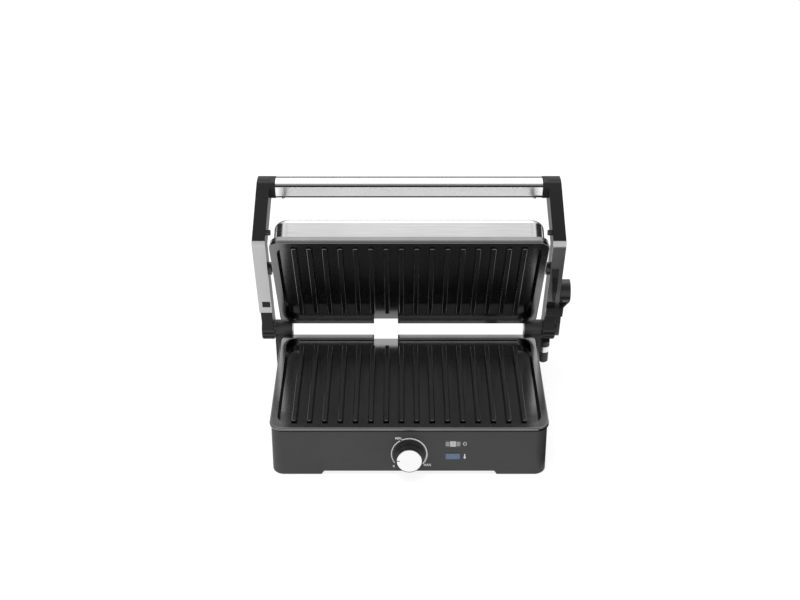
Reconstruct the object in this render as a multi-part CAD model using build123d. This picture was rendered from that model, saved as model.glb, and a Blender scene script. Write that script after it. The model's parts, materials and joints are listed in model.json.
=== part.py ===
from build123d import *
import os
from math import acos, asin, atan2, cos, degrees, hypot, pi, radians, sin, tan

# Contact grill with two ribbed plates, standing open on its lower housing.
# Millimetres: +X right, +Y back, +Z up. The pieces are drawn round the middle of the lower plate.
# As they are written, they move to an origin on the table under the middle of the open grill.
# The lid, its arms and the lever are drawn closed over the lower plate, then swung to the rest angle.

# Plates
plate_w = 311.0
plate_d = 176.0
plate_corner_r = 13.0
tray_corner_r = 14.0
rim_top_z = 61.0
rim_thick = 3.5
rim_w = 8.0
rim_edge_r = 1.4
tray_depth = 9.5
tray_floor = 3.0
tray_wall = 2.6
tray_lean_deg = 12.0
rib_count = 16
rib_pitch = 17.2
rib_w = 7.2
rib_h = 7.0
rib_lean_deg = 8.0
rib_edge_r = 0.9
rib_front_gap = 15.0
rib_end_flat = 0.8
ledge_w = 10.0
spout_x = -27.4
spout_w = 29.0
spout_reach = 3.5
spout_wall = 2.0

# Lower housing
housing_side_set = 1.5
housing_front_set = 1.0
housing_rear_set = 1.5
housing_corner_r = 13.0
housing_wall = 2.5
housing_top_gap = 2.2
front_lean_deg = 10.6
lip_inset = 1.2
lip_thick = 1.5
flange_h = 4.0
leg_h = 5.5
leg_gap_w = 191.0
leg_gap_d = 96.0
leg_edge_lean = 4.0
bottom_z = 8.0
bottom_thick = 2.5
foot_w = 22.0
foot_d = 13.0
foot_inset = 30.0
foot_front_set = 3.5
foot_rear_set = 13.0
foot_proud = 0.6
foot_corner_r = 3.0
leg_chamfer = 1.0
screw_inset = 44.0
screw_post_gap = 3.0
screw_front_set = 7.5
screw_rear_set = 10.0
vent_columns = 3
vent_pitch_x = 22.0
vent_pitch_y = 24.0
vent_len = 16.0
vent_w = 4.0
fit = 0.3

# Controls, placed on the leaning front panel
knob_z = 27.0
knob_base_r = 17.0
knob_face_r = 14.6
knob_h = 15.0
knob_gap = 0.6
knob_cap_thick = 1.6
knob_cap_inset = 0.7
knob_cap_proud = 0.4
knob_cap_edge_r = 0.6
knob_step_h = 6.0
knob_step_r = 15.7
shaft_r = 3.0
shaft_clear = 0.08
bush_r = 4.5
thermostat_gap = 1.5
pointer_len = 3.5
pointer_w = 1.2
pointer_depth = 1.0
thermostat_w = 30.0
thermostat_h = 22.0
thermostat_d = 16.0
lamp_x = 48.7
lamp_w = 17.5
lamp_h = 8.7
lamp_proud = 0.4
lamp_depth = 4.5
lamp_edge_r = 0.3
power_lamp_z = 40.0
heat_lamp_z = 24.3
board_thick = 1.6
board_margin = 6.0

# Hinge, on the lower housing behind the plates
hinge_set = 12.5
hinge_rise = 2.0
pin_r = 5.0
pin_clear = 0.08
barrel_r = 10.0
post_w = 21.0
post_side_set = 7.5
post_foot_z = 14.0
post_rear_set = 6.0
post_taper = 5.0
post_top_drop = 6.0
post_top_half = 8.0
catch_r = 6.7
catch_foot_r = 6.1
catch_core_r = 4.0
catch_side_set = 5.0
catch_front_set = 5.0
catch_chamfer = 1.6
ring_r = 7.0
ring_z0 = 33.0
ring_z1 = 41.0
closed_gap = 0.6
open_deg = 66.0

# Arms and handle: s runs forward from the hinge, t runs up, both with the lid closed
arm_gap = 1.0
arm_w = 15.0
hub_r = 13.5
hub_core_r = 11.5
elbow_s = 141.0
elbow_t = 32.5
elbow_r = 10.5
handle_s = 167.0
handle_t = 90.0
handle_end_r = 11.5
arm_top_inset = 5.0
arm_kink_t = 26.0
handle_w = 20.0
handle_d = 20.0
handle_corner_r = 5.0
handle_wall = 1.5
handle_cap_show = 6.0
handle_socket = 8.0
handle_turn_deg = 20.0
handle_cap_proud = 0.8
handle_cap_set = 0.5
pivot_collar = 4.5
pivot_pin_in = 18.0
pivot_seat = 8.0
stop_seat = 6.0
cover_thick = 1.2
cover_start_s = 41.0
cover_slot_s = 58.5
cover_slot_len = 10.5
cover_slot_w = 10.5
flute_count = 18
flute_r = 0.9
flute_out = 0.3
cap_end_thick = 2.0

# Lid
frame_set = 1.0
frame_h = 5.5
cover_set = 3.0
cover_corner_r = 17.0
cover_h = 29.0
cover_edge_r = 8.0
sheet = 1.2
pivot_s = 103.0
pivot_t = 20.0
pivot_r = 4.0
pivot_collar_r = 7.5
bush_flange_r = 8.3
bush_body_r = 6.5
stop_s = 150.0
stop_t = 38.0
stop_r = 3.2
stop_reach = 6.0
frame_lip = 4.5
bush_depth = 5.0
bush_flange = 2.5
frame_corner_set = 1.0

# Lock lever on the right arm
lever_gap = 1.0
lever_w = 4.5
lever_hub_r = 10.0
lever_neck_r = 7.5
lever_s = 60.0
lever_t = 16.0
lever_tab_r = 14.0
lever_tab_slant = 18.0
tab_proud = 7.5
guide_start = 58.0
guide_end = 112.0
guide_drop = 4.0
guide_ramp = 18.9
guide_flat = 24.3
bridge_start = 36.0
bridge_end = 50.0
bridge_thick = 3.0
bridge_gap = 0.8
guide_inset = 2.0
guide_w = 12.0
catch_z0 = 16.0
catch_z1 = 48.0

# Inside
heater_r = 3.2
heater_gap = 0.1
heater_x = 112.0
heater_y = 46.0
heater_bend = 22.0
heater_lead_y = 68.0
reflector_side_set = 15.0
reflector_end_set = 12.5
reflector_corner_r = 10.0
reflector_h = 6.0
reflector_gap = 0.3
boss_r = 3.5
screw_r = 3.0
screw_h = 2.0
gland_x = 105.0
gland_z = 26.0
gland_r = 8.0
gland_reach = 7.0
gland_bore_r = 3.6
gland_taper = 1.5
gland_neck_r = 6.0
terminal_set = 31.0
reflector_foot_x = 96.0
reflector_foot_y = 50.0
fuse_r = 8.0
fuse_h = 6.0
fuse_clear = 1.0
terminal_w = 34.0
terminal_d = 16.0
terminal_h = 14.0
terminal_pitch = 10.0
terminal_bore_r = 3.0
terminal_bore_depth = 3.0

housing_w = plate_w - 2 * housing_side_set
housing_front_y = -plate_d / 2 + housing_front_set
housing_rear_y = plate_d / 2 - housing_rear_set
frame_w = plate_w - 2 * frame_set
frame_d = plate_d - 2 * frame_set
cover_w = frame_w - 2 * cover_set
cover_d = frame_d - 2 * cover_set
reflector_w = cover_w - 2 * reflector_side_set
reflector_d = cover_d - 2 * reflector_end_set
hinge_y = housing_rear_y + hinge_set
hinge_z = rim_top_z + hinge_rise
post_x1 = plate_w / 2 + post_side_set
post_x0 = post_x1 - post_w
arm_x0 = post_x1 + arm_gap
arm_x1 = arm_x0 + arm_w
handle_half_len = arm_x0 - arm_top_inset - handle_cap_show
handle_cap_x1 = arm_x1 - arm_top_inset - handle_cap_set
lever_x0 = arm_x1 + lever_gap
lever_x1 = lever_x0 + lever_w
tab_x1 = lever_x1 + tab_proud
rim_under_z = rim_top_z - rim_thick
floor_z = rim_top_z - tray_depth
tray_under_z = floor_z - tray_floor
housing_top_z = rim_under_z - housing_top_gap
mid_z = rim_top_z + closed_gap / 2
lid_rim_z = rim_top_z + closed_gap
frame_z = lid_rim_z + rim_thick
cover_z = frame_z + frame_h
knob_cap_r = knob_face_r - knob_cap_inset
hinge_axis = Axis((0, hinge_y, hinge_z), (1, 0, 0))

# The origin lies under the middle of the open grill's outline
origin_x = (tab_x1 - arm_x1) / 2
origin_y = 9.0
far = 2 * plate_w
on_base = (Align.CENTER, Align.CENTER, Align.MIN)
under_face = (Align.CENTER, Align.CENTER, Align.MAX)

os.makedirs("parts", exist_ok=True)


def save(name, shape):
    """Writes one sub-part, moved to the origin of the finished grill."""
    placed = Pos(-origin_x, -origin_y, 0) * shape
    placed.label = name
    export_step(placed, f"parts/{name}.step")


def open_up(shape):
    """Turns a piece drawn with the lid closed to the rest angle."""
    return shape.rotate(hinge_axis, -open_deg)


def save_pair(name, right, placed=lambda shape: shape):
    """Writes the right piece and its mirror image on the left."""
    save("right_" + name, placed(right))
    save("left_" + name, placed(right.mirror(Plane.YZ)))


def at(s, t):
    """Point of the closed lid's side view, as Y and Z."""
    return (hinge_y - s, hinge_z + t)


def disc(centre, radius):
    """Round face in the side view."""
    return Pos(*centre) * Circle(radius)


def link(p, p_r, q, q_r):
    """Face of two circles and their outer tangents, in the side view."""
    length = hypot(q[0] - p[0], q[1] - p[1])
    along = atan2(q[1] - p[1], q[0] - p[0])
    open_angle = acos((p_r - q_r) / length)
    corners = []
    for (y, z), r, angle in (
        (p, p_r, along - open_angle),
        (q, q_r, along - open_angle),
        (q, q_r, along + open_angle),
        (p, p_r, along + open_angle),
    ):
        corners.append((y + r * cos(angle), z + r * sin(angle)))
    return disc(p, p_r) + disc(q, q_r) + Polygon(*corners, align=None)


def across(face, x0, x1):
    """Side-view face made solid from x0 to x1."""
    return extrude(Plane.YZ.offset(x0) * face, x1 - x0, dir=(1, 0, 0))


def rod(centre, radius, x0, x1):
    """Round bar along X."""
    return across(disc(centre, radius), x0, x1)


def block(x0, x1, y0, y1, z0, z1):
    """Box between two corners."""
    size = (x1 - x0, y1 - y0, z1 - z0)
    return Pos((x0 + x1) / 2, (y0 + y1) / 2, (z0 + z1) / 2) * Box(*size)


def slab(width, depth, corner, z0, z1, lean=0.0):
    """Rounded rectangle raised from z0 to z1, or sunk if z1 is lower."""
    face = Pos(0, 0, z0) * RectangleRounded(width, depth, corner)
    direction = (0, 0, 1 if z1 > z0 else -1)
    return extrude(face, abs(z1 - z0), dir=direction, taper=lean)


# Ribbed plate

def spout_cut(z0, z1, y0, y1, margin=0.0):
    """Space of the fat spout at the rear edge."""
    half = spout_w / 2 + margin
    return block(spout_x - half, spout_x + half, y0, y1, z0, z1)


def ribbed_plate():
    """Cast plate with a flat rim, a leaning tray wall, ribs, a rear ledge and a fat spout."""
    cavity_w = plate_w - 2 * rim_w
    cavity_d = plate_d - 2 * rim_w
    lost = rim_thick * tan(radians(tray_lean_deg))
    tray_w = cavity_w - 2 * lost + 2 * tray_wall
    tray_d = cavity_d - 2 * lost + 2 * tray_wall
    rim = slab(plate_w, plate_d, plate_corner_r, rim_under_z, rim_top_z)
    top_edge = rim.edges().group_by(Axis.Z)[-1]
    rim = fillet(top_edge, rim_edge_r)
    tray_r = tray_corner_r + tray_wall / 2
    tray = slab(tray_w, tray_d, tray_r, rim_under_z, tray_under_z, tray_lean_deg)
    cavity = slab(cavity_w, cavity_d, tray_corner_r, rim_top_z, floor_z, tray_lean_deg)
    floor_d = cavity_d - 2 * tray_depth * tan(radians(tray_lean_deg))
    rear_y = floor_d / 2
    front_y = -plate_d / 2 + rib_front_gap
    ribs_w = (rib_count - 1) * rib_pitch + rib_w
    plate = rim + tray - cavity
    plate += block(-ribs_w / 2, ribs_w / 2, rear_y - ledge_w, rear_y + 1, floor_z, floor_z + rib_h)
    length = rear_y - front_y
    face = RectangleRounded(rib_w, length, (rib_w - rib_end_flat) / 2)
    rib = extrude(Pos(0, (rear_y + front_y) / 2, floor_z) * face, rib_h, taper=rib_lean_deg)
    rib = fillet(rib.edges().group_by(Axis.Z)[-1], rib_edge_r)
    plate += [Pos((i - (rib_count - 1) / 2) * rib_pitch, 0, 0) * rib for i in range(rib_count)]
    plate -= spout_cut(floor_z, rim_top_z + 1, rear_y - ledge_w, plate_d / 2 + 1)
    chute_end = plate_d / 2 + spout_reach
    chute = spout_cut(tray_under_z, rim_under_z, rear_y, chute_end, spout_wall)
    chute -= spout_cut(floor_z, rim_top_z, rear_y - 1, chute_end + 1)
    chute -= spout_cut(tray_under_z - 1, rim_top_z, -plate_d, rear_y, spout_wall + 1)
    chute -= slab(cavity_w, cavity_d, tray_corner_r, rim_top_z, floor_z, tray_lean_deg)
    return plate + chute


lower_plate = ribbed_plate()
save("lower_plate", lower_plate)
upper_plate = Pos(0, 0, 2 * mid_z) * lower_plate.mirror(Plane.XY)
save("upper_plate", open_up(upper_plate))


# Lower housing

def panel_y(z, inset=0.0):
    """Y of the leaning front panel at a height."""
    lean = tan(radians(front_lean_deg))
    return housing_front_y - (housing_top_z - z) * lean + inset / cos(radians(front_lean_deg))


def housing_outline(inset, z):
    """Rounded outline of the housing at a height, moved in by an inset."""
    front_y = panel_y(z, inset)
    rear_y = housing_rear_y - inset
    face = RectangleRounded(housing_w - 2 * inset, rear_y - front_y, housing_corner_r - inset)
    return Pos(0, (front_y + rear_y) / 2, z) * face


def housing_block(inset, z0, z1):
    """Solid with the housing's outline, moved in by an inset."""
    return loft([housing_outline(inset, z0), housing_outline(inset, z1)], ruled=True)


def leg_gap(across_x):
    """Low arch cut between the legs, through the front and rear or through the sides."""
    half = (leg_gap_w if across_x else leg_gap_d) / 2
    outline = [(-half - leg_edge_lean, 0), (-half, leg_h), (half, leg_h), (half + leg_edge_lean, 0)]
    face = Polygon(*outline, align=None)
    if across_x:
        return extrude(Plane.XZ.offset(plate_d) * face, 2 * plate_d, dir=(0, 1, 0))
    return across(face, -plate_w, plate_w)


def on_panel(x, z, depth=0.0):
    """Frame on the front panel, its Z axis pointing out of the panel."""
    origin = Vector(x, panel_y(z), z)
    outward = Vector(0, -cos(radians(front_lean_deg)), sin(radians(front_lean_deg)))
    return Location(Plane(origin - outward * depth, x_dir=(1, 0, 0), z_dir=outward))


def lower_housing():
    """Moulded shell with a leaning panel, four legs, a plate seat, windows and a spout notch."""
    shell = housing_block(0, foot_proud, housing_top_z)
    shell = chamfer(shell.edges().group_by(Axis.Z)[0], leg_chamfer)
    shell -= housing_block(housing_wall, -1, housing_top_z - flange_h)
    shell -= housing_block(lip_inset + lip_thick, housing_top_z - flange_h - 1, housing_top_z + 1)
    lip = housing_block(lip_inset, housing_top_z, rim_under_z)
    shell += lip - housing_block(lip_inset + lip_thick, housing_top_z - 1, rim_under_z + 1)
    shell -= leg_gap(True)
    shell -= leg_gap(False)
    shell -= spout_cut(tray_under_z - fit, rim_top_z, 0, plate_d, spout_wall + fit)
    shell -= on_panel(0, knob_z) * Cylinder(bush_r, 4 * housing_wall)
    for z in (power_lamp_z, heat_lamp_z):
        shell -= on_panel(lamp_x, z) * Box(lamp_w, lamp_h, 4 * housing_wall)
    shell -= Pos(gland_x, housing_rear_y, gland_z) * Rot(90, 0, 0) * Cylinder(gland_neck_r, 4 * housing_wall)
    return shell


def vent_slots(z, height):
    """Rows of air slots through the bottom cover."""
    slots = []
    for i in range(-vent_columns, vent_columns + 1):
        for j in (-1, 1):
            place = Pos(i * vent_pitch_x, j * vent_pitch_y / 2, z)
            slots.append(extrude(place * SlotOverall(vent_len, vent_w, rotation=90), height))
    return slots


def feet_and_screws():
    """Rubber feet under the legs, and the screws that hold the bottom cover beside them."""
    feet = Part()
    screws = Part()
    bosses = Part()
    for x, y in corner_places(foot_inset, foot_front_set, foot_rear_set):
        feet += Pos(x, y, 0) * extrude(RectangleRounded(foot_w, foot_d, foot_corner_r), bottom_z)
    for x, y in corner_places(screw_inset, screw_front_set, screw_rear_set):
        screws += Pos(x, y, bottom_z - screw_h) * extrude(Circle(screw_r), screw_h)
        boss_h = tray_under_z - screw_post_gap - bottom_z - bottom_thick
        bosses += Pos(x, y, bottom_z + bottom_thick) * extrude(Circle(boss_r), boss_h)
    return feet, screws, bosses


def corner_places(inset, front_set, rear_set):
    """Four places near the corners of the housing."""
    x = housing_w / 2 - inset
    rows = (housing_front_y + front_set, housing_rear_y - rear_set)
    return [(side * x, y) for side in (-1, 1) for y in rows]


feet, screws, bosses = feet_and_screws()
bottom = housing_block(housing_wall + fit, bottom_z, bottom_z + bottom_thick)
bottom -= vent_slots(bottom_z - 1, bottom_thick + 2)
save("lower_housing", lower_housing())
save("bottom_cover", bottom)
save("rubber_feet", feet)
save("bottom_screws", screws)
save("screw_posts", bosses)


# Control knob, thermostat and lamps

def control_knob():
    """Stepped skirt with a seat for the bright cap and a bore for the shaft."""
    rise = knob_h - knob_step_h
    skirt = Pos(0, 0, knob_gap) * Cone(knob_base_r, knob_step_r, knob_step_h - knob_gap, align=on_base)
    skirt += Pos(0, 0, knob_step_h) * Cone(knob_step_r - knob_gap, knob_face_r, rise, align=on_base)
    skirt -= Pos(0, 0, knob_h - knob_cap_thick) * Cylinder(knob_cap_r, knob_cap_thick + 1, align=on_base)
    return skirt - Pos(0, 0, -1) * Cylinder(shaft_r, knob_h / 2 + 1, align=on_base)


panel = on_panel(0, knob_z)
cap = Cylinder(knob_cap_r, knob_cap_thick + knob_cap_proud, align=on_base)
cap = Pos(0, 0, knob_h - knob_cap_thick) * cap
cap = fillet(cap.edges().group_by(Axis.Z)[-1], knob_cap_edge_r)
cap -= Pos(-knob_cap_r, 0, knob_h) * Box(2 * pointer_len, pointer_w, 2 * pointer_depth)
shaft_len = knob_h / 2 + housing_wall + thermostat_gap + thermostat_d / 2
shaft_base = knob_h / 2 - shaft_len
thermostat_top = -housing_wall - thermostat_gap
thermostat = Pos(0, 0, thermostat_top) * Box(thermostat_w, thermostat_h, thermostat_d, align=under_face)
thermostat += Pos(0, 0, thermostat_top) * Cylinder(bush_r, -thermostat_top, align=on_base)
thermostat -= Pos(0, 0, shaft_base) * Cylinder(shaft_r + shaft_clear, shaft_len, align=on_base)
save("knob_skirt", panel * control_knob())
save("knob_cap", panel * cap)
save("thermostat_shaft", panel * Pos(0, 0, shaft_base) * Cylinder(shaft_r, shaft_len, align=on_base))
save("thermostat", panel * thermostat)
for name, z in (("power_lamp", power_lamp_z), ("heat_lamp", heat_lamp_z)):
    lens = Box(lamp_w, lamp_h, lamp_depth, align=under_face)
    lens = fillet(lens.edges().group_by(Axis.Z)[-1], lamp_edge_r)
    save(name, on_panel(lamp_x, z, -lamp_proud) * lens)
board_h = power_lamp_z - heat_lamp_z + lamp_h + board_margin
board = Box(lamp_w + board_margin, board_h, board_thick, align=under_face)
save("lamp_board", on_panel(lamp_x, (power_lamp_z + heat_lamp_z) / 2, lamp_depth - lamp_proud) * board)


# Heating of a plate

def heater(under_z):
    """Bent tube element that lies under a plate, with both leads at the rear."""
    z = under_z - heater_r - heater_gap
    points = [
        (-heater_x, heater_lead_y, z),
        (-heater_x, -heater_y, z),
        (heater_x, -heater_y, z),
        (heater_x, heater_lead_y, z),
    ]
    path = FilletPolyline(*points, radius=heater_bend)
    return sweep(Plane(path @ 0, z_dir=path % 0) * Circle(heater_r), path=path)


def reflector(top_z, base_z):
    """Shallow steel tray that turns the heat up to the plate, on two feet."""
    low_z = top_z - reflector_h
    inner_w = reflector_w - 2 * sheet
    inner_d = reflector_d - 2 * sheet
    tray = slab(reflector_w, reflector_d, reflector_corner_r, low_z, top_z)
    tray -= slab(inner_w, inner_d, reflector_corner_r - sheet, low_z + sheet, top_z + 1)
    for side in (-1, 1):
        x0 = side * reflector_foot_x - sheet / 2
        tray += block(x0, x0 + sheet, -reflector_foot_y, reflector_foot_y, base_z, low_z)
    return tray


reflector_top_z = tray_under_z - 2 * heater_r - heater_gap - reflector_gap
lower_heater = heater(tray_under_z)
lower_reflector = reflector(reflector_top_z, bottom_z + bottom_thick)
save("lower_heater", lower_heater)
save("lower_reflector", lower_reflector)
upper_heater = Pos(0, 0, 2 * mid_z) * lower_heater.mirror(Plane.XY)
save("upper_heater", open_up(upper_heater))
terminal = block(-terminal_w / 2, terminal_w / 2, 0, terminal_d, 0, terminal_h)
for i in range(-1, 2):
    bore = Cylinder(terminal_bore_r, 2 * terminal_bore_depth)
    terminal -= Pos(i * terminal_pitch, terminal_d / 2, terminal_h) * bore
save("terminal_block", Pos(gland_x, housing_rear_y - terminal_set, bottom_z + bottom_thick) * terminal)
gland = Rot(-90, 0, 0) * (
    Cone(gland_r, gland_r - gland_taper, gland_reach, align=on_base)
    + Pos(0, 0, -housing_wall) * Cylinder(gland_neck_r, housing_wall, align=on_base)
    - Pos(0, 0, -housing_wall - 1) * Cylinder(gland_bore_r, 3 * gland_reach, align=on_base)
)
save("cord_gland", Pos(gland_x, housing_rear_y, gland_z) * gland)


# Hinge posts and pins

def hinge_post():
    """Bracket on the rear wall that carries the hinge barrel."""
    top = hinge_z - post_top_drop
    outline = [
        (housing_rear_y, post_foot_z),
        (hinge_y + post_rear_set - post_taper, post_foot_z),
        (hinge_y + post_rear_set, hinge_z - barrel_r),
        (hinge_y + post_top_half, top),
        (hinge_y - post_top_half, top),
        (housing_rear_y, housing_top_z - flange_h),
    ]
    body = across(Polygon(*outline, align=None), post_x0, post_x1)
    body += rod((hinge_y, hinge_z), barrel_r, post_x0, post_x1)
    body -= housing_block(0, 0, housing_top_z)
    return body - rod((hinge_y, hinge_z), pin_r, post_x0 - 1, post_x1 + 1)


post = hinge_post()
pin_end = arm_x1 - cap_end_thick - fit
pin = rod((hinge_y, hinge_z), pin_r, post_x0, pin_end)
save_pair("hinge_post", post)
save_pair("hinge_pin", pin)


def catch_disc(radius, z0, z1):
    """Round length of the catch, standing beside the right post."""
    place = Pos(post_x1 + catch_side_set, hinge_y - catch_front_set, z0)
    return place * Cylinder(radius, z1 - z0, align=on_base)


catch = catch_disc(catch_foot_r, catch_z0, ring_z0)
catch = chamfer(catch.edges().group_by(Axis.Z)[0], catch_chamfer)
catch_core = catch_disc(catch_core_r, ring_z0, ring_z1)
catch += catch_core + catch_disc(catch_r, ring_z1, catch_z1)
catch_ring = catch_disc(ring_r, ring_z0, ring_z1) - catch_core
beside_post = block(post_x1, far, -far, far, 0, far)
save("lever_catch", catch & beside_post)
save("catch_ring", catch_ring & beside_post)


# Arms and handle

def lower_link(margin=0.0):
    """Side view of the arm from the hub to the elbow."""
    return link(at(0, 0), hub_core_r + margin, at(elbow_s, elbow_t), elbow_r + margin)


def arm():
    """Bent arm of the right side, with its hub, its leaning upper half and its pin holes."""
    upper = link(at(elbow_s, elbow_t), elbow_r, at(handle_s, handle_t), handle_end_r)
    kink_z = hinge_z + arm_kink_t
    lean = degrees(atan2(arm_top_inset, handle_t - arm_kink_t))
    outer = Pos(arm_x1, hinge_y, kink_z) * Rot(0, -lean, 0) * block(0, far, -far, far, -far, far)
    inner = Pos(arm_x0, hinge_y, kink_z) * Rot(0, -lean, 0) * block(-far, 0, -far, far, -far, far)
    rise = across(upper, arm_x0 - arm_top_inset, arm_x1) - outer - inner
    body = across(lower_link(), arm_x0, arm_x1 - cover_thick) - outer
    body += rise & block(0, far, -far, far, kink_z, far)
    body -= rod(at(0, 0), pin_r + pin_clear, 0, far)
    body -= rod(at(pivot_s, pivot_t), pivot_r, 0, arm_x0 + pivot_seat)
    body -= rod(at(stop_s, stop_t), stop_r, 0, arm_x0 + stop_seat)
    return body


def arm_cover(carrier):
    """Bright sheet over the outer side and the underside of the lower half of an arm."""
    shell = across(lower_link(cover_thick), arm_x0, arm_x1)
    shell -= across(lower_link(), 0, arm_x1 - cover_thick)
    shell -= carrier
    start_y = hinge_y - cover_start_s
    slot_y = hinge_y - cover_slot_s
    shell &= block(0, far, -far, start_y, 0, hinge_z + arm_kink_t)
    shell -= block(0, arm_x0 + cover_slot_w, slot_y - cover_slot_len, slot_y, 0, hinge_z)
    along = degrees(atan2(elbow_t, elbow_s))
    above = block(0, arm_x1 - cover_thick, -far, far, 0, far)
    return shell - Pos(0, hinge_y, hinge_z) * Rot(-along, 0, 0) * above


def hinge_cap():
    """Fluted cup over the hub of an arm, cut away where the arm leaves it."""
    cup = rod(at(0, 0), hub_r, arm_x0, arm_x1)
    for i in range(flute_count):
        turn = 2 * pi * i / flute_count
        centre = at((hub_r + flute_out) * cos(turn), (hub_r + flute_out) * sin(turn))
        cup -= rod(centre, flute_r, arm_x0 - 1, arm_x1 - cap_end_thick)
    cup -= across(lower_link(), 0, arm_x1 - cover_thick)
    return cup - rod(at(0, 0), pin_r + pin_clear, 0, arm_x1 - cap_end_thick)


right_arm = arm()
save_pair("arm", right_arm, open_up)
save_pair("arm_cover", arm_cover(right_arm), open_up)
save_pair("hinge_cap", hinge_cap(), open_up)
handle_face = RectangleRounded(handle_d, handle_w, handle_corner_r)
hollow_d = handle_d - 2 * handle_wall
hollow_w = handle_w - 2 * handle_wall
handle_hollow = RectangleRounded(hollow_d, hollow_w, handle_corner_r - handle_wall)
handle_place = Pos(*at(handle_s, handle_t)) * Rot(0, 0, -handle_turn_deg)
tube = across(handle_place * (handle_face - handle_hollow), -handle_half_len, handle_half_len)
end_block = across(handle_place * offset(handle_face, handle_cap_proud), handle_half_len, handle_cap_x1)
end_block += across(handle_place * handle_hollow, handle_half_len - handle_socket, handle_half_len)
end_block -= right_arm
save("handle_bar", open_up(tube))
save_pair("handle_cap", end_block, open_up)
pivot_pin = rod(at(pivot_s, pivot_t), pivot_r, arm_x0 - pivot_pin_in, arm_x0 + pivot_seat)
pivot_pin += rod(at(pivot_s, pivot_t), pivot_collar_r, arm_x0 - pivot_collar, arm_x0)
save_pair("pivot_pin", pivot_pin, open_up)
save_pair("stop_pin", rod(at(stop_s, stop_t), stop_r, arm_x0 - stop_reach, arm_x0 + stop_seat), open_up)


# Lid

def lid_shell(inset, z1):
    """Rounded solid with the outline of the lid cover, moved in by an inset."""
    width = cover_w - 2 * inset
    depth = cover_d - 2 * inset
    body = slab(width, depth, cover_corner_r - inset, cover_z - inset, z1 - inset)
    return fillet(body.edges().group_by(Axis.Z)[-1], cover_edge_r - inset)


cover_top_z = cover_z + cover_h
cover = lid_shell(0, cover_top_z) - lid_shell(sheet, cover_top_z)
for side in (-1, 1):
    wall_x = side * cover_w / 2
    cover -= rod(at(pivot_s, pivot_t), bush_body_r, wall_x - bush_depth, wall_x + bush_depth)
opening_w = plate_w - 2 * frame_lip
opening_d = plate_d - 2 * frame_lip
opening_r = plate_corner_r - frame_lip
frame = slab(frame_w, frame_d, plate_corner_r - frame_corner_set, frame_z, cover_z)
frame -= slab(opening_w, opening_d, opening_r, frame_z - 1, cover_z + 1)
spout_space = spout_cut(tray_under_z - fit, rim_top_z, 0, plate_d, spout_wall + fit)
upper_spout = Pos(0, 0, 2 * mid_z) * spout_space.mirror(Plane.XY)
frame -= upper_spout
cover -= upper_spout
bush = rod(at(pivot_s, pivot_t), bush_body_r, cover_w / 2 - bush_depth, cover_w / 2)
bush += rod(at(pivot_s, pivot_t), bush_flange_r, cover_w / 2, cover_w / 2 + bush_flange)
bush -= rod(at(pivot_s, pivot_t), pivot_r + pin_clear, 0, far)
upper_reflector = reflector(reflector_top_z, 2 * mid_z - cover_top_z + sheet)
upper_reflector = Pos(0, 0, 2 * mid_z) * upper_reflector.mirror(Plane.XY)
fuse = Pos(0, 0, 2 * mid_z - tray_under_z) * extrude(Circle(fuse_r), fuse_h)
save("lid_cover", open_up(cover))
save("lid_frame", open_up(frame))
save("upper_reflector", open_up(upper_reflector - Cylinder(fuse_r + fuse_clear, far)))
save("thermal_fuse", open_up(fuse))
save_pair("pivot_bush", bush, open_up)


# Lock lever

def under_arm(along, below):
    """Point below the lower half of the arm, at a distance along it from the hub."""
    slope = atan2(elbow_t, elbow_s) + asin((hub_core_r - elbow_r) / hypot(elbow_s, elbow_t))
    drop = hub_core_r + cover_thick + below
    return at(along * cos(slope) + drop * sin(slope), along * sin(slope) - drop * cos(slope))


def bridge_face(high):
    """Side view of the bridge, from a distance below the arm to its underside."""
    low = bridge_gap + bridge_thick
    corners = [(bridge_start, low), (bridge_start, high), (bridge_end, high), (bridge_end, low)]
    return Polygon(*[under_arm(*corner) for corner in corners], align=None)


def lever():
    """Lever on the hinge axis with a slanting thumb tab, and a bridge that passes under the arm."""
    stem = across(link(at(0, 0), lever_hub_r, at(lever_s, lever_t), lever_neck_r), lever_x0, lever_x1)
    tab_face = disc(at(lever_s, lever_t), lever_tab_r)
    tab = across(tab_face, lever_x0, tab_x1)
    low_face = disc(at(lever_s - lever_tab_slant, lever_t), lever_tab_r)
    slant = loft([Plane.YZ.offset(lever_x1) * low_face, Plane.YZ.offset(tab_x1) * tab_face])
    stem += across(low_face, lever_x0, lever_x1)
    stem += tab + slant
    stem += across(bridge_face(-hub_core_r), lever_x0, lever_x1)
    stem += across(bridge_face(bridge_gap), arm_x0, lever_x1)
    return stem - rod(at(0, 0), pin_r + pin_clear, 0, lever_x1 - cap_end_thick)


def lever_guide():
    """Black wedge on the underside of the right arm, beside the lever."""
    deep_start = guide_start + guide_ramp
    outline = [
        (guide_start, 0),
        (deep_start, guide_drop),
        (deep_start + guide_flat, guide_drop),
        (guide_end, 0),
    ]
    face = Polygon(*[under_arm(*point) for point in outline], align=None)
    return across(face, arm_x0 + guide_inset, arm_x0 + guide_inset + guide_w)


lever_pin = rod(at(0, 0), pin_r, arm_x1, lever_x1 - cap_end_thick - fit)
save("lock_lever", open_up(lever()))
save("lever_pin", open_up(lever_pin))
save("lever_guide", open_up(lever_guide()))
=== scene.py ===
import json
import math

import bpy
from mathutils import Matrix, Vector

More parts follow.
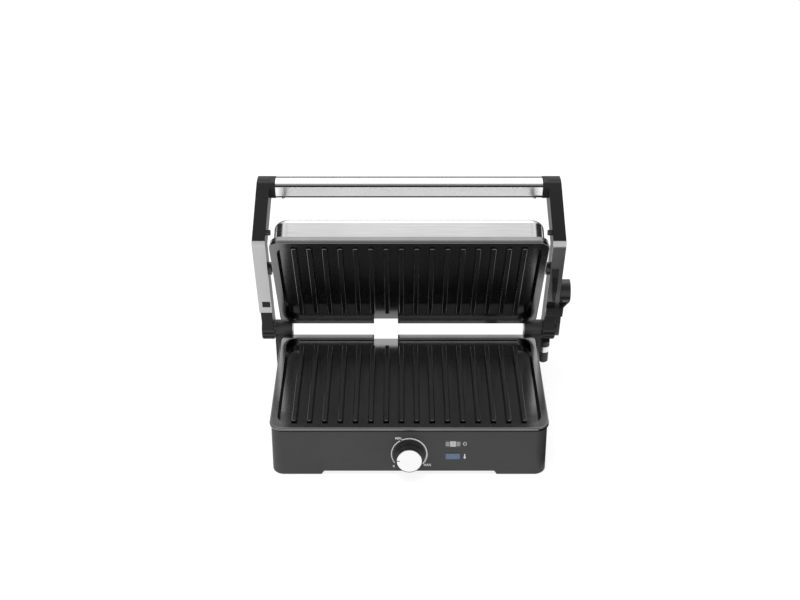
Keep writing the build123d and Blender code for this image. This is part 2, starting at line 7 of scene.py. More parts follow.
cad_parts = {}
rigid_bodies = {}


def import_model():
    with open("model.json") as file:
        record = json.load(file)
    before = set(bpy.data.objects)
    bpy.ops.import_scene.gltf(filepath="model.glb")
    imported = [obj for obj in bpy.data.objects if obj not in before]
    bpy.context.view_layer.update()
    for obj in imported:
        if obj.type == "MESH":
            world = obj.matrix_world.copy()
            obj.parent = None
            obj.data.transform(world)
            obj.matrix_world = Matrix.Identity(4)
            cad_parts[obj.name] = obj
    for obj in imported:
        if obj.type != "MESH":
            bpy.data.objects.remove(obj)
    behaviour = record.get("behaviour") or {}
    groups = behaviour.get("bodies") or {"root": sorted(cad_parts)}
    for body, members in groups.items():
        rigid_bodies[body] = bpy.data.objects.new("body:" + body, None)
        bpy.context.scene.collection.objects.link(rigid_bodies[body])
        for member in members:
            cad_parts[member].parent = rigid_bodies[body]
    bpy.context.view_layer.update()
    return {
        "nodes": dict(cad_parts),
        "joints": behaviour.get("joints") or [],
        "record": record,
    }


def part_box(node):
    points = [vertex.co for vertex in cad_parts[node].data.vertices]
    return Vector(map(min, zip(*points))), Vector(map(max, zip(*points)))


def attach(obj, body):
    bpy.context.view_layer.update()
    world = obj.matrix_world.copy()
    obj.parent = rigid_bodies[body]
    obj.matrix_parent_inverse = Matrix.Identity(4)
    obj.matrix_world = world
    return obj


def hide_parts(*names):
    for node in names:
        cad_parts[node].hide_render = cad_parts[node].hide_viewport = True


# Electric contact grill, open. Metres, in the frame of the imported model.

# Camera, fitted to the plates' ribs
CAMERA_AT = (-0.0168, -1.1069, 0.9297)
CAMERA_TILT = 55.4
LENS = 54.0
SENSOR = 36.0

# Floor and world
FLOOR_SIZE = 12.0
FLOOR_GREY = 0.6
FLOOR_SEEN_GREY = 0.25
FLOOR_GLOW = 0.85
WORLD_LIGHT = 0.5
BACKDROP = 1.0

# What reflections see: where a zone starts, where it is full, and its brightness
SCREEN_AT = (0.0, -0.568, 0.823)
SCREEN_ZONE = (0.86, 0.95, 0.3)
SOFTBOX_AT = (0.0, 0.574, 0.819)
SOFTBOX_ZONE = (0.9, 0.96, 2.3)
SIDES_ZONE = (0.58, 0.7, 0.03)
ABOVE_ZONE = (0.8, 0.97, 0.75)
FLAG_FROM = (0.156, -0.2)
FLAG_TO = (0.34, 0.012)
FLAG_Z = 0.001
FLAG_GREY = 0.01

# Lights: place, size and watts
LIGHTS = {
    "top softbox": ((-0.2, -0.1, 1.6), (1.2, 0.8), 15.0),
    "left softbox": ((-1.5, -0.9, 0.9), (0.9, 0.9), 6.0),
}
LIGHTS_AIM = (0, 0, 0.1)

# Dial print round the knob, from its axis
ARC_R = 0.0198
ARC_START = 215.0
ARC_END = -40.0
ARC_GAP_AT = 118.0
ARC_GAP = 5.0
ARC_THIN = 0.0009
ARC_WIDE = 0.0017
PRINT_LIFT = 0.00006
LETTER_H = 0.0039
LETTER_BOLD = 0.03
WORDS = {
    "dial_min": ("MIN", -0.0122, 0.0200),
    "dial_max": ("MAX", 0.0204, -0.0144),
    "dial_off": ("0", -0.0172, -0.0160),
}

# Lamps and the symbols beside them
LENS_PROUD = 0.0007
LENS_CORNER = 0.0008
LENS_HALF_W = 0.0033
LENS_HALF_H = 0.0033
PAD_OUT = 0.006
PAD_HALF_W = 0.0021
PAD_HALF_H = 0.0026
HEAT_HALF_W = 0.0078
HEAT_HALF_H = 0.0033
SYMBOL_GAP = 0.0045
SYMBOL_R = 0.0019
SYMBOL_LINE = 0.0005
SYMBOL_BAR_UP = 0.8 * SYMBOL_R
SYMBOL_BAR_HALF_H = 0.6 * SYMBOL_R
OPEN_FROM = 120
OPEN_TO = 420
BULB_DOWN = 0.0018
BULB_R = 0.0013
STEM_UP = 0.0022

# Handle bar, as it stands at rest
HANDLE_SIDE = 0.020
HANDLE_CORNER_R = 0.005
HANDLE_TURN = 4.0
# Black strips over parts of the bar's rounded edges: the angles where each starts and ends
EDGE_BANDS = {
    "rear_top": (47, 112),
    "front_top": (146, 172),
    "front_low": (196, 236),
    "rear_low": (300, 326),
}
EDGE_BAND_PROUD = 0.00015
EDGE_BAND_STEPS = 8
SCREW_X = 0.1446
SCREW_SET = 0.0062
SCREW_R = 0.0022
SCREW_H = 0.0011
SCREW_SUNK = 0.0003
SCREW_RINGS = 6
SCREW_AROUND = 24

# Pointer mark on the knob
POINTER_OUT = 0.0141
POINTER_LEN = 0.0028
POINTER_W = 0.0012
POINTER_LOW = 0.0139
POINTER_TOP = 0.0151

# Arms, measured from the hinge along the underside of the lower half
ARM_RISE = 79.37
ARM_DROP = 0.0127
SLOT_START = 0.0485
SLOT_END = 0.0575
SLOT_SIDE_SET = 0.001
SLOT_W = 0.0095
SLOT_PROUD = 0.00015
# Black wedge under the right arm, beside the lever, whose black is painted shade
SHADE_WEDGE_STATIONS = ((0.058, 0.0), (0.0769, 0.004), (0.1012, 0.004), (0.112, 0.0))
SHADE_WEDGE_SIDE_SET = 0.004
SHADE_WEDGE_TOP_W = 0.008
SHADE_WEDGE_LOW_W = 0.003
HUB_R = 0.0135
GRIP_COUNT = 16
GRIP_PROUD = 0.0006
GRIP_W = 0.0022
GRIP_TAPER = 0.6
GRIP_SIDE_SET = 0.0008
GRIP_CLEAR_OF_ARM = 62.0

# Painted shade: a near-black strip in the gap under the plate's rim
GAP_SHADE_INSET = 0.0025
GAP_SHADE_FRONT_INSET = 0.0019
GAP_SHADE_THICK = 0.0008
GAP_SHADE_CORNER_R = 0.0115
GAP_SHADE_LOW = 0.0554
GAP_SHADE_TOP = 0.0574
GAP_SHADE_REAR = 0.06
GAP_SHADE_STEPS = 8

# Softened edges
EDGE_FINE = 0.00025
EDGE_SOFT = 0.0006
EDGE_ANGLE = 35.0
FINE_EDGED = ("knob_cap", "knob_skirt", "left_hinge_cap", "right_hinge_cap", "lid_cover")
NO_EDGE = ("lower_plate", "upper_plate")

# Part of a noise's range that is used
NOISE_LOW = 0.3
NOISE_HIGH = 0.7


def clear_start_objects():
    """Removes what a new file starts with."""
    for obj in list(bpy.data.objects):
        bpy.data.objects.remove(obj)


clear_start_objects()
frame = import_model()
nodes = frame["nodes"]
joints = {joint["name"]: joint for joint in frame["joints"]}

# Directions of the front panel, and of the arms' lower half at rest
knob_at = Vector(joints["knob_turn"]["pos_m"])
OUT = -Vector(joints["knob_turn"]["axis"]).normalized()
RIGHT = Vector((1, 0, 0))
UP = OUT.cross(RIGHT).normalized()
hinge_at = Vector(joints["lid_hinge"]["pos_m"])
RISE = math.radians(ARM_RISE)
ALONG_ARM = Vector((0, -math.cos(RISE), math.sin(RISE)))
OFF_ARM = Vector((0, -math.sin(RISE), -math.cos(RISE)))


# Materials

def material(name):
    """Empty principled material."""
    made = bpy.data.materials.new(name)
    made.use_nodes = True
    return made, made.node_tree, made.node_tree.nodes["Principled BSDF"]


def noise(tree, scale, detail=2.0, stretch=(1, 1, 1)):
    """Noise between 0 and 1 in object coordinates; scale is in features a metre."""
    place = tree.nodes.new("ShaderNodeTexCoord")
    mapping = tree.nodes.new("ShaderNodeMapping")
    mapping.inputs["Scale"].default_value = stretch
    tree.links.new(place.outputs["Object"], mapping.inputs["Vector"])
    made = tree.nodes.new("ShaderNodeTexNoise")
    made.inputs["Scale"].default_value = scale
    made.inputs["Detail"].default_value = detail
    tree.links.new(mapping.outputs["Vector"], made.inputs["Vector"])
    return made.outputs["Fac"]


def between(tree, factor, middle, swing):
    """Number that wanders round a middle with a noise."""
    made = tree.nodes.new("ShaderNodeMapRange")
    made.inputs["From Min"].default_value = NOISE_LOW
    made.inputs["From Max"].default_value = NOISE_HIGH
    made.inputs["To Min"].default_value = middle - swing
    made.inputs["To Max"].default_value = middle + swing
    tree.links.new(factor, made.inputs["Value"])
    return made.outputs["Result"]


def tint(tree, shader, factor, colour, spread):
    """Base colour that wanders a little lighter and darker."""
    ramp = tree.nodes.new("ShaderNodeValToRGB")
    dark, light = ramp.color_ramp.elements
    dark.position = NOISE_LOW
    light.position = NOISE_HIGH
    dark.color = [c * (1 - spread) for c in colour] + [1]
    light.color = [min(1, c * (1 + spread)) for c in colour] + [1]
    tree.links.new(factor, ramp.inputs["Fac"])
    tree.links.new(ramp.outputs["Color"], shader.inputs["Base Color"])


def relief(tree, shader, height, depth):
    """Fine relief of a depth in metres."""
    made = tree.nodes.new("ShaderNodeBump")
    made.inputs["Distance"].default_value = depth
    made.inputs["Strength"].default_value = 1.0
    tree.links.new(height, made.inputs["Height"])
    tree.links.new(made.outputs["Normal"], shader.inputs["Normal"])


def moulded(name, colour, rough, grain=1400.0, depth=0.00003, gloss=0.5):
    """Moulded plastic or rubber with a fine grain."""
    made, tree, shader = material(name)
    fine = noise(tree, grain, 3.0)
    tint(tree, shader, noise(tree, grain / 40), colour, 0.08)
    tree.links.new(between(tree, fine, rough, 0.05), shader.inputs["Roughness"])
    shader.inputs["Specular IOR Level"].default_value = gloss
    relief(tree, shader, fine, depth)
    return made


def brushed(name, colour, rough, stretch, depth=0.000004, spread=0.05):
    """Metal with fine lines along one axis."""
    made, tree, shader = material(name)
    lines = noise(tree, 1600.0, 4.0, stretch)
    tint(tree, shader, lines, colour, spread)
    tree.links.new(between(tree, noise(tree, 18.0), rough, 0.03), shader.inputs["Roughness"])
    shader.inputs["Metallic"].default_value = 1.0
    relief(tree, shader, lines, depth)
    return made


def coated(name, colour, rough, peel_depth=0.000003):
    """Dark non-stick coating on cast aluminium: a soft metallic sheen with faint orange peel."""
    made, tree, shader = material(name)
    peel = noise(tree, 260.0)
    tint(tree, shader, noise(tree, 30.0), colour, 0.06)
    tree.links.new(between(tree, peel, rough, 0.015), shader.inputs["Roughness"])
    shader.inputs["Metallic"].default_value = 1.0
    relief(tree, shader, peel, peel_depth)
    return made


def lens(name, colour, rough):
    """Frosted lamp window."""
    made, tree, shader = material(name)
    clouds = noise(tree, 260.0)
    tint(tree, shader, clouds, colour, 0.12)
    tree.links.new(between(tree, noise(tree, 2600.0), rough, 0.04), shader.inputs["Roughness"])
    shader.inputs["Coat Weight"].default_value = 0.6
    shader.inputs["Coat Roughness"].default_value = 0.08
    relief(tree, shader, clouds, 0.00005)
    return made


def ink(name, colour):
    """Pad print."""
    made, tree, shader = material(name)
    tint(tree, shader, noise(tree, 3000.0), colour, 0.04)
    shader.inputs["Roughness"].default_value = 0.55
    return made


ALONG_X = (0.02, 1, 1)
ALONG_LID = (0.015, 1, 1)
EVEN = (1, 1, 1)
looks = {
    "housing_plastic": moulded("housing plastic", (0.042, 0.042, 0.044), 0.52),
    "rubber": moulded("foot rubber", (0.02, 0.02, 0.02), 0.8, 700.0, 0.00008, 0.2),
    "fastener_steel": brushed("turned steel", (0.5, 0.5, 0.51), 0.3, EVEN),
    "plate_coating": coated("plate coating", (0.17, 0.17, 0.172), 0.17),
    # Plain steel given a near-black colour, darker than bare steel
    "dark_steel": brushed("near-black steel", (0.06, 0.06, 0.062), 0.35, EVEN),
    "heater_steel": brushed("rolled steel", (0.42, 0.42, 0.43), 0.38, ALONG_X),
    "thermostat_case": moulded("thermostat case", (0.4, 0.4, 0.4), 0.4),
    "lamp_clear": lens("clear lamp window", (0.06, 0.06, 0.065), 0.3),
    "lamp_blue": lens("blue lamp window", (0.02, 0.03, 0.06), 0.25),
    "board_green": moulded("board lacquer", (0.02, 0.12, 0.05), 0.35),
    "ceramic_white": moulded("ceramic", (0.75, 0.74, 0.7), 0.3, 500.0),
    "knob_black": moulded("black satin plastic", (0.014, 0.014, 0.015), 0.3, 1800.0, 0.000012),
    "bright_metal": brushed("bright knob face", (0.88, 0.88, 0.88), 0.3, EVEN, 0.000002, 0.03),
    "arm_black": moulded("black arm plastic", (0.016, 0.016, 0.017), 0.4, 1800.0, 0.000008, 0.2),
    "arm_silver": brushed("silver arm sheet", (0.5, 0.5, 0.5), 0.3, EVEN, 0.000003, 0.04),
    "handle_steel": brushed("handle steel", (0.95, 0.95, 0.95), 0.18, ALONG_X, 0.0000005, 0.02),
    "cover_steel": brushed("lid steel", (0.72, 0.725, 0.72), 0.17, ALONG_LID, 0.000001, 0.09),
    # Lid frame's own grey coating, made lighter than the plates' so that it paints the overhead
    # sheen on its front band
    "frame_plastic": coated("frame coating with painted sheen", (0.38, 0.38, 0.38), 0.3),
}
# Near-black material that paints the shade in the gap under the plate's rim
gap_shade_black = moulded("painted gap shade", (0.004, 0.004, 0.004), 0.8, 900.0, 0.00002, 0.05)
white_ink = ink("white print", (0.9, 0.9, 0.9))
frosted_white = lens("frosted white", (0.62, 0.62, 0.6), 0.35)
frosted_grey = lens("frosted grey", (0.3, 0.3, 0.3), 0.35)
frosted_blue = lens("frosted blue", (0.10, 0.155, 0.26), 0.35)


def paint(obj, look):
    """Gives a piece one material."""
    obj.data.materials.clear()
    obj.data.materials.append(look)


def soften(obj, width):
    """Rounds the sharp edges of a piece."""
    edge = obj.modifiers.new("soft edges", "BEVEL")
    edge.width = width
    edge.segments = 2
    edge.limit_method = "ANGLE"
    edge.angle_limit = math.radians(EDGE_ANGLE)


def dress_nodes():
    """Gives the solids their materials and softened edges."""
    for part in frame["record"]["subparts"]:
        name = part["node"]
        paint(nodes[name], looks[part["material_slot"]])
        if name not in NO_EDGE:
            soften(nodes[name], EDGE_FINE if name in FINE_EDGED else EDGE_SOFT)


# Pieces

def side_word(side):
    """Name of a side."""
    return "left" if side < 0 else "right"


def link_new(name, data):
    """New object in the scene."""
    obj = bpy.data.objects.new(name, data)
    bpy.context.scene.collection.objects.link(obj)
    return obj


def mesh_piece(name, corners, faces, look, body):
    """Piece from corners and faces, riding on a body."""
    data = bpy.data.meshes.new(name)
    data.from_pydata([tuple(c) for c in corners], [], faces)
    data.update()
    obj = link_new(name, data)
    paint(obj, look)
    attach(obj, body)
    return obj


def prism(name, first, second, look, body):
    """Piece between two outlines with the same number of corners."""
    count = len(first)
    faces = [tuple(range(count - 1, -1, -1)), tuple(range(count, 2 * count))]
    faces += [(i, (i + 1) % count, count + (i + 1) % count, count + i) for i in range(count)]
    return mesh_piece(name, first + second, faces, look, body)


def on_panel(x, up, lift=PRINT_LIFT):
    """Point of the front panel, measured from the knob's axis."""
    return knob_at + RIGHT * x + UP * up + OUT * lift


def panel_place(node):
    """Middle of a node on the panel, as x and up from the knob's axis."""
    low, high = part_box(node)
    middle = (low + high) / 2 - knob_at
    return middle.dot(RIGHT), middle.dot(UP)


def raise_outline(name, outline, base, top, look, body="base"):
    """Flat piece of an outline in panel coordinates, raised from base to top."""
    first = [on_panel(x, up, base) for x, up in outline]
    second = [on_panel(x, up, top) for x, up in outline]
    return prism(name, first, second, look, body)


def arc_points(centre, radius, start, end, steps):
    """Points of an arc; angles in degrees from the first axis to the second."""
    found = []
    for i in range(steps + 1):
        turn = math.radians(start + (end - start) * i / steps)
        found.append((centre[0] + radius * math.cos(turn), centre[1] + radius * math.sin(turn)))
    return found


def rounded_box(centre, half_w, half_h, corner):
    """Outline of a rounded rectangle in panel coordinates."""
    outline = []
    for side_x, side_y, start in ((1, 1, 0), (-1, 1, 90), (-1, -1, 180), (1, -1, 270)):
        x = centre[0] + side_x * (half_w - corner)
        up = centre[1] + side_y * (half_h - corner)
        outline += arc_points((x, up), corner, start, start + 90, 5)
    return outline


def ribbon(name, centre, radius, start, end, line_start, line_end, steps=48):
    """Printed arc line whose width changes along it."""
    corners = []
    for i in range(steps + 1):
        part = i / steps
        half = (line_start + (line_end - line_start) * part) / 2
        turn = math.radians(start + (end - start) * part)
        for lift in (0.0, PRINT_LIFT):
            for reach in (radius + half, radius - half):
                x = centre[0] + reach * math.cos(turn)
                up = centre[1] + reach * math.sin(turn)
                corners.append(on_panel(x, up, lift))
    faces = []
    for a in range(0, 4 * steps, 4):
        b = a + 4
        faces += [(a + 2, b + 2, b + 3, a + 3), (a, a + 1, b + 1, b)]
        faces += [(a, b, b + 2, a + 2), (a + 1, a + 3, b + 3, b + 1)]
    last = 4 * steps
    faces += [(0, 2, 3, 1), (last, last + 1, last + 3, last + 2)]
    return mesh_piece(name, corners, faces, white_ink, "base")


def letters(name, text, x, up):
    """Printed word on the panel."""
    data = bpy.data.curves.new(name, "FONT")
    data.body = text
    data.size = LETTER_H
    data.align_x = "CENTER"
    data.align_y = "CENTER"
    data.extrude = PRINT_LIFT / 2
    data.offset = LETTER_H * LETTER_BOLD
    obj = link_new(name, data)
    turn = Matrix((RIGHT, UP, OUT)).transposed().to_4x4()
    obj.matrix_world = Matrix.Translation(on_panel(x, up, PRINT_LIFT / 2)) @ turn
    paint(obj, white_ink)
    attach(obj, "base")


def dial_print():
    """Widening arc from low to high, with its words."""
    before = ARC_GAP_AT + ARC_GAP / 2
    after = ARC_GAP_AT - ARC_GAP / 2
    gap_part = (ARC_START - ARC_GAP_AT) / (ARC_START - ARC_END)
    line = ARC_THIN + (ARC_WIDE - ARC_THIN) * gap_part
    ribbon("dial_arc_low", (0, 0), ARC_R, ARC_START, before, ARC_THIN, line)
    ribbon("dial_arc_high", (0, 0), ARC_R, after, ARC_END, line, ARC_WIDE)
    for name, (text, x, up) in WORDS.items():
        letters(name, text, x, up)


def lamp_details():
    """Moulded lens bodies in both windows, with a power symbol and a thermometer beside them."""
    x, up = panel_place("power_lamp")
    low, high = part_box("power_lamp")
    middle = rounded_box((x, up), LENS_HALF_W, LENS_HALF_H, LENS_CORNER)
    raise_outline("lamp_lens_middle", middle, 0.0, LENS_PROUD, frosted_white)
    for side in (-1, 1):
        pad = rounded_box((x + side * PAD_OUT, up), PAD_HALF_W, PAD_HALF_H, LENS_CORNER)
        name = f"lamp_lens_{side_word(side)}"
        raise_outline(name, pad, 0.0, LENS_PROUD, frosted_grey)
    symbol_x = x + (high.x - low.x) / 2 + SYMBOL_GAP
    ring = ((symbol_x, up), SYMBOL_R, OPEN_FROM, OPEN_TO, SYMBOL_LINE, SYMBOL_LINE, 28)
    ribbon("power_symbol_ring", *ring)
    bar_at = (symbol_x, up + SYMBOL_BAR_UP)
    bar = rounded_box(bar_at, SYMBOL_LINE / 2, SYMBOL_BAR_HALF_H, SYMBOL_LINE / 4)
    raise_outline("power_symbol_bar", bar, 0.0, PRINT_LIFT, white_ink)
    x, up = panel_place("heat_lamp")
    window = rounded_box((x, up), HEAT_HALF_W, HEAT_HALF_H, LENS_CORNER)
    raise_outline("heat_lens", window, 0.0, LENS_PROUD, frosted_blue)
    bulb = arc_points((symbol_x, up - BULB_DOWN), BULB_R, OPEN_FROM, OPEN_TO, 20)
    stem = arc_points((symbol_x, up + STEM_UP), BULB_R / 2, 0, 180, 8)
    raise_outline("thermometer_symbol", bulb + stem, 0.0, PRINT_LIFT, white_ink)


def edge_band(name, start, end):
    """Black strip round part of one rounded edge of the bar; angles run from the rear, upwards."""
    low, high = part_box("handle_bar")
    middle = (low + high) / 2
    reach = (HANDLE_SIDE / 2 - HANDLE_CORNER_R) * math.sqrt(2)
    corner = math.radians(90 * ((start - HANDLE_TURN) // 90) + 45 + HANDLE_TURN)
    centre = (middle.y + reach * math.cos(corner), middle.z + reach * math.sin(corner))
    outline = arc_points(centre, HANDLE_CORNER_R + EDGE_BAND_PROUD, start, end, EDGE_BAND_STEPS)
    outline += arc_points(centre, HANDLE_CORNER_R - EDGE_BAND_PROUD, end, start, EDGE_BAND_STEPS)
    first = [(low.x, y, z) for y, z in outline]
    second = [(high.x, y, z) for y, z in outline]
    prism(name, first, second, looks["arm_black"], "arms")


def screw_head(name, base, out):
    """Domed screw head."""
    other = out.cross(RIGHT)
    corners = []
    for j in range(SCREW_RINGS):
        part = j / SCREW_RINGS
        lift = SCREW_H * math.sqrt(1 - (1 - part) ** 2) if j else -SCREW_SUNK
        wide = SCREW_R * math.sqrt(1 - part**2)
        for x, y in arc_points((0, 0), wide, 0, 360, SCREW_AROUND)[:-1]:
            corners.append(base + out * lift + RIGHT * x + other * y)
    faces = []
    for j in range(SCREW_RINGS - 1):
        for i in range(SCREW_AROUND):
            a = j * SCREW_AROUND + i
            b = j * SCREW_AROUND + (i + 1) % SCREW_AROUND
            faces.append((a, b, b + SCREW_AROUND, a + SCREW_AROUND))
    faces.append(tuple(range((SCREW_RINGS - 1) * SCREW_AROUND, SCREW_RINGS * SCREW_AROUND)))
    faces.append(tuple(range(SCREW_AROUND - 1, -1, -1)))
    mesh_piece(name, corners, faces, looks["handle_steel"], "arms")


def handle_details():
    """Black strips along parts of the bar's rounded edges, and two screws in its underside."""
    for edge, (start, end) in EDGE_BANDS.items():
        edge_band(f"handle_edge_band_{edge}", start, end)
    low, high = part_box("handle_bar")
    down = math.radians(HANDLE_TURN - 90)
    out = Vector((0, math.cos(down), math.sin(down)))
    front = Vector((0, out.z, -out.y))
    under = (low + high) / 2 + out * HANDLE_SIDE / 2 + front * SCREW_SET
    for side in (-1, 1):
        screw_head(f"handle_screw_{side_word(side)}", under + RIGHT * side * SCREW_X, out)


def pointer_mark():
    """Black filling in the notch of the knob's face."""
    x0 = -POINTER_OUT
    x1 = x0 + POINTER_LEN
    half = POINTER_W / 2
    outline = [(x0, -half), (x1, -half), (x1, half), (x0, half)]
    look = looks["knob_black"]
    raise_outline("pointer_mark", outline, POINTER_LOW, POINTER_TOP, look, "knob")


def on_hinge(x):
    """Point of the hinge's axis."""
    return Vector((x, hinge_at.y, hinge_at.z))


def under_arm(x, along, below):
    """Point at a distance along the underside of an arm's lower half and below it."""
    return on_hinge(x) + ALONG_ARM * along + OFF_ARM * (ARM_DROP + below)


def arm_slot(side):
    """Dark slot in the sheet of an arm."""
    low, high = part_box(f"{side_word(side)}_arm_cover")
    inner = low.x if side > 0 else high.x
    x0 = inner + side * SLOT_SIDE_SET
    x1 = x0 + side * SLOT_W
    outline = [(SLOT_START, -SLOT_PROUD), (SLOT_START, SLOT_PROUD)]
    outline += [(SLOT_END, SLOT_PROUD), (SLOT_END, -SLOT_PROUD)]
    first = [under_arm(x0, *point) for point in outline]
    second = [under_arm(x1, *point) for point in outline]
    name = f"{side_word(side)}_arm_slot"
    prism(name, first, second, looks["arm_black"], "arms")


def cap_grips(side):
    """Grip ribs round a hinge cap, apart from where it meets the arm."""
    low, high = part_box(f"{side_word(side)}_arm_cover")
    x0 = low.x + GRIP_SIDE_SET
    x1 = high.x - GRIP_SIDE_SET
    root = HUB_R - GRIP_PROUD
    tip = HUB_R + GRIP_PROUD
    wide = GRIP_W / 2
    narrow = GRIP_TAPER * wide
    shape = ((root, -wide), (root, wide), (tip, narrow), (tip, -narrow))
    for i in range(GRIP_COUNT):
        angle = 360 * i / GRIP_COUNT
        from_arm = abs((angle - (180 - ARM_RISE) + 180) % 360 - 180)
        if from_arm < GRIP_CLEAR_OF_ARM:
            continue
        turn = math.radians(angle)
        out = Vector((0, math.cos(turn), math.sin(turn)))
        over = Vector((0, -math.sin(turn), math.cos(turn)))
        section = [out * radius + over * offset for radius, offset in shape]
        first = [on_hinge(x0) + point for point in section]
        second = [on_hinge(x1) + point for point in section]
        name = f"{side_word(side)}_cap_grip_{i + 1}"
        prism(name, first, second, looks["arm_black"], "arms")


def lever_shade_wedge():
    """Tapered black wedge under the right arm, beside the lever; its black is painted shade."""
    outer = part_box("lever_guide")[1].x - SHADE_WEDGE_SIDE_SET
    start = SHADE_WEDGE_STATIONS[0][0]
    top = SHADE_WEDGE_STATIONS[-1][0]
    first = []
    second = []
    for along, drop in SHADE_WEDGE_STATIONS:
        part = (top - along) / (top - start)
        width = SHADE_WEDGE_TOP_W + (SHADE_WEDGE_LOW_W - SHADE_WEDGE_TOP_W) * part
        first.append(under_arm(outer - width, along, drop))
        second.append(under_arm(outer, along, drop))
    obj = prism("lever_shade_wedge", first, second, looks["arm_black"], "arms")
    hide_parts("lever_guide")
    soften(obj, EDGE_SOFT)


def gap_shade_path(left, right, front, set_in):
    """Line round the front of the lower plate, set in from its outer line."""
    radius = GAP_SHADE_CORNER_R - set_in
    y = front + GAP_SHADE_CORNER_R
    path = [(left + set_in, GAP_SHADE_REAR)]
    path += arc_points((left + GAP_SHADE_CORNER_R, y), radius, 180, 270, GAP_SHADE_STEPS)
    path += arc_points((right - GAP_SHADE_CORNER_R, y), radius, 270, 360, GAP_SHADE_STEPS)
    path.append((right - set_in, GAP_SHADE_REAR))
    return path


def gap_shade_strip():
    """Near-black strip between the housing and the rim of the lower plate, along the front and
    sides, that paints the shade in the gap.
    """
    low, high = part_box("lower_plate")
    place = (low.x + GAP_SHADE_INSET, high.x - GAP_SHADE_INSET, low.y + GAP_SHADE_FRONT_INSET)
    outer = gap_shade_path(*place, 0.0)
    inner = gap_shade_path(*place, GAP_SHADE_THICK)
    count = len(outer)
    corners = [(x, y, z) for z in (GAP_SHADE_LOW, GAP_SHADE_TOP) for x, y in outer + inner]
    faces = []
    for i in range(count - 1):
        j = i + 1
        faces.append((i, j, 2 * count + j, 2 * count + i))
        faces.append((count + j, count + i, 3 * count + i, 3 * count + j))
        faces.append((2 * count + i, 2 * count + j, 3 * count + j, 3 * count + i))
        faces.append((i, count + i, count + j, j))
    for i in (0, count - 1):
        faces.append((i, 2 * count + i, 3 * count + i, count + i))
    mesh_piece("plate_gap_shade", corners, faces, gap_shade_black, "base")


# Studio

def maths(tree, operation, *values):
    """Result of one operation on one or two numbers."""
    made = tree.nodes.new("ShaderNodeMath")
    made.operation = operation
    for i, value in enumerate(values):
        tree.links.new(value, made.inputs[i])
    return made.outputs[0]


def seen_by_eye(tree):
    """1 for rays that come from the camera or through a reflection or glass."""
    path = tree.nodes.new("ShaderNodeLightPath").outputs
    seen = maths(tree, "MAXIMUM", path["Is Camera Ray"], path["Is Glossy Ray"])
    return maths(tree, "MAXIMUM", seen, path["Is Transmission Ray"])


def towards(tree, direction, aim):
    """How far a direction points at an aim, 1 for straight at it."""
    made = tree.nodes.new("ShaderNodeVectorMath")
    made.operation = "DOT_PRODUCT"
    made.inputs[1].default_value = aim
    tree.links.new(direction, made.inputs[0])
    return made.outputs["Value"]


def zone(tree, factor, low, high, light):
    """Brightness that goes from 1 to another as a factor goes from low to high."""
    made = tree.nodes.new("ShaderNodeMapRange")
    made.interpolation_type = "SMOOTHSTEP"
    made.inputs["From Min"].default_value = low
    made.inputs["From Max"].default_value = high
    made.inputs["To Min"].default_value = 1.0
    made.inputs["To Max"].default_value = light
    tree.links.new(factor, made.inputs["Value"])
    return made.outputs["Result"]


def card(name, start, end, z, look):
    """Flat stage piece between two corners."""
    data = bpy.data.meshes.new(name)
    corners = [(start[0], start[1], z), (end[0], start[1], z)]
    corners += [(end[0], end[1], z), (start[0], end[1], z)]
    data.from_pydata(corners, [], [(0, 1, 2, 3)])
    obj = link_new(name, data)
    paint(obj, look)
    return obj


def grey_diffuse(tree, grey):
    """Matt grey shader."""
    made = tree.nodes.new("ShaderNodeBsdfDiffuse")
    made.inputs["Color"].default_value = (grey, grey, grey, 1)
    return made.outputs[0]


def floor():
    """White floor that keeps the object's shadow."""
    look = bpy.data.materials.new("white floor")
    look.use_nodes = True
    tree = look.node_tree
    tree.nodes.clear()
    glow = tree.nodes.new("ShaderNodeEmission")
    glow.inputs["Strength"].default_value = FLOOR_GLOW
    both = tree.nodes.new("ShaderNodeAddShader")
    tree.links.new(grey_diffuse(tree, FLOOR_SEEN_GREY), both.inputs[0])
    tree.links.new(glow.outputs[0], both.inputs[1])
    mixed = tree.nodes.new("ShaderNodeMixShader")
    tree.links.new(seen_by_eye(tree), mixed.inputs["Fac"])
    tree.links.new(grey_diffuse(tree, FLOOR_GREY), mixed.inputs[1])
    tree.links.new(both.outputs[0], mixed.inputs[2])
    output = tree.nodes.new("ShaderNodeOutputMaterial")
    tree.links.new(mixed.outputs[0], output.inputs["Surface"])
    half = FLOOR_SIZE / 2
    card("floor", (-half, -half), (half, half), 0.0, look)


def black_flag():
    """Dark card beside the right arm that only reflections see."""
    look, _, shader = material("black card")
    shader.inputs["Base Color"].default_value = (FLAG_GREY, FLAG_GREY, FLAG_GREY, 1)
    obj = card("black flag", FLAG_FROM, FLAG_TO, FLAG_Z, look)
    obj.visible_camera = False
    obj.visible_diffuse = False
    obj.visible_shadow = False
    obj.visible_transmission = False


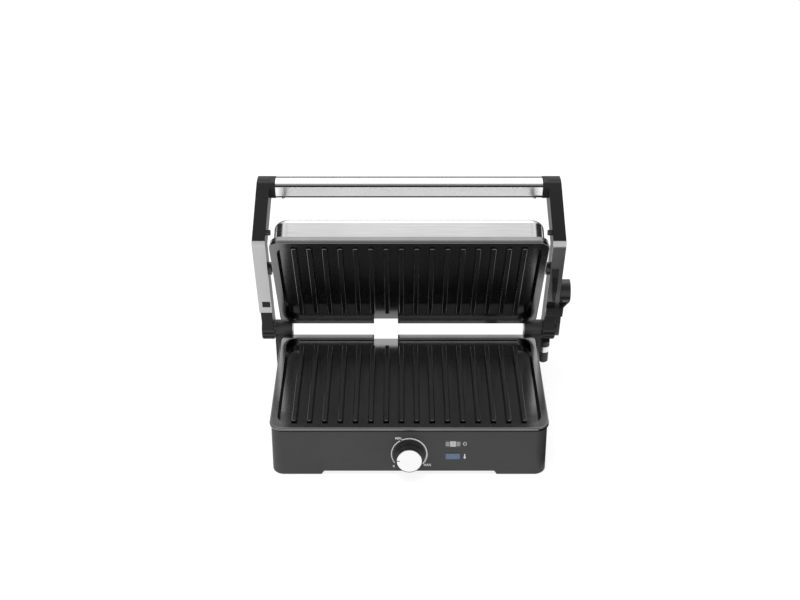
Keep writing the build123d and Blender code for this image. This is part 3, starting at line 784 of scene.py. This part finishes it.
def world():
    """Even studio light and a white backdrop, with screens that only reflections see."""
    made = bpy.data.worlds.new("studio")
    bpy.context.scene.world = made
    made.use_nodes = True
    tree = made.node_tree
    background = tree.nodes["Background"]
    background.inputs["Color"].default_value = (1, 1, 1, 1)
    direction = tree.nodes.new("ShaderNodeTexCoord").outputs["Generated"]
    parts = tree.nodes.new("ShaderNodeSeparateXYZ")
    tree.links.new(direction, parts.inputs[0])
    front = zone(tree, towards(tree, direction, SCREEN_AT), *SCREEN_ZONE)
    sides = zone(tree, maths(tree, "ABSOLUTE", parts.outputs["X"]), *SIDES_ZONE)
    above = zone(tree, parts.outputs["Z"], *ABOVE_ZONE)
    rear = zone(tree, towards(tree, direction, SOFTBOX_AT), *SOFTBOX_ZONE)
    level = maths(tree, "MULTIPLY", front, sides)
    high = maths(tree, "MULTIPLY", above, rear)
    plain = tree.nodes.new("ShaderNodeMix")
    plain.data_type = "FLOAT"
    path = tree.nodes.new("ShaderNodeLightPath")
    tree.links.new(path.outputs["Is Glossy Ray"], plain.inputs["Factor"])
    plain.inputs["A"].default_value = 1.0
    tree.links.new(maths(tree, "MULTIPLY", level, high), plain.inputs["B"])
    strength = tree.nodes.new("ShaderNodeMapRange")
    strength.inputs["To Min"].default_value = WORLD_LIGHT
    strength.inputs["To Max"].default_value = BACKDROP
    tree.links.new(seen_by_eye(tree), strength.inputs["Value"])
    total = maths(tree, "MULTIPLY", plain.outputs["Result"], strength.outputs["Result"])
    tree.links.new(total, background.inputs["Strength"])


def area_light(name, at, size, power):
    """Soft box that reflections don't see."""
    data = bpy.data.lights.new(name, "AREA")
    data.shape = "RECTANGLE"
    data.size, data.size_y = size
    data.energy = power
    obj = link_new(name, data)
    obj.visible_glossy = False
    obj.location = at
    aim = Vector(LIGHTS_AIM) - Vector(at)
    obj.rotation_euler = aim.to_track_quat("-Z", "Y").to_euler()


def camera():
    """Camera at the photograph's place."""
    data = bpy.data.cameras.new("camera")
    data.lens = LENS
    data.sensor_width = SENSOR
    obj = link_new("camera", data)
    obj.location = CAMERA_AT
    obj.rotation_euler = (math.radians(CAMERA_TILT), 0, 0)
    bpy.context.scene.camera = obj


dress_nodes()
dial_print()
lamp_details()
handle_details()
pointer_mark()
for side in (-1, 1):
    arm_slot(side)
    cap_grips(side)
# Painted shade beside the lever
lever_shade_wedge()
# Painted shade in the gap under the plate's rim
gap_shade_strip()
floor()
black_flag()
world()
for name, (at, size, power) in LIGHTS.items():
    area_light(name, at, size, power)
camera()
bpy.context.scene.view_settings.view_transform = "Standard"
